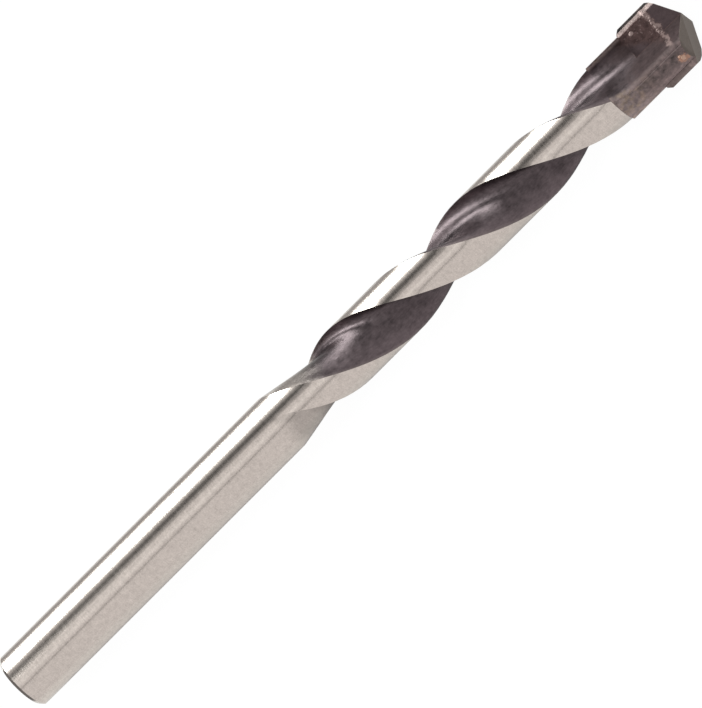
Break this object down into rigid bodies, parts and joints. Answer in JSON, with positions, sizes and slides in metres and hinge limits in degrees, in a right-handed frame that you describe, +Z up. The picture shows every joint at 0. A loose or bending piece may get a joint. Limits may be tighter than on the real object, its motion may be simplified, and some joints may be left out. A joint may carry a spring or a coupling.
{
  "type": "masonry drill bit",
  "caption": "Masonry drill bit: a round straight shank, a twisted fluted body and a carbide cutting plate brazed across the head.",
  "frame": {"origin": "centre of the shank's flat end face, on the bit's axis", "axes": "+X along the axis to the chisel edge, +Y along the width of the cutting plate, +Z up, square to the plate, as the bit lies"},
  "size_m": [0.12, 0.01, 0.0084],
  "materials": {
    "body_steel": "satin",
    "carbide": "ground",
    "braze_metal": "dull"
  },
  "bodies": {
    "root": {"steel_body": "body_steel", "carbide_tip": "carbide", "braze": "braze_metal"}
  },
  "joints": []
}
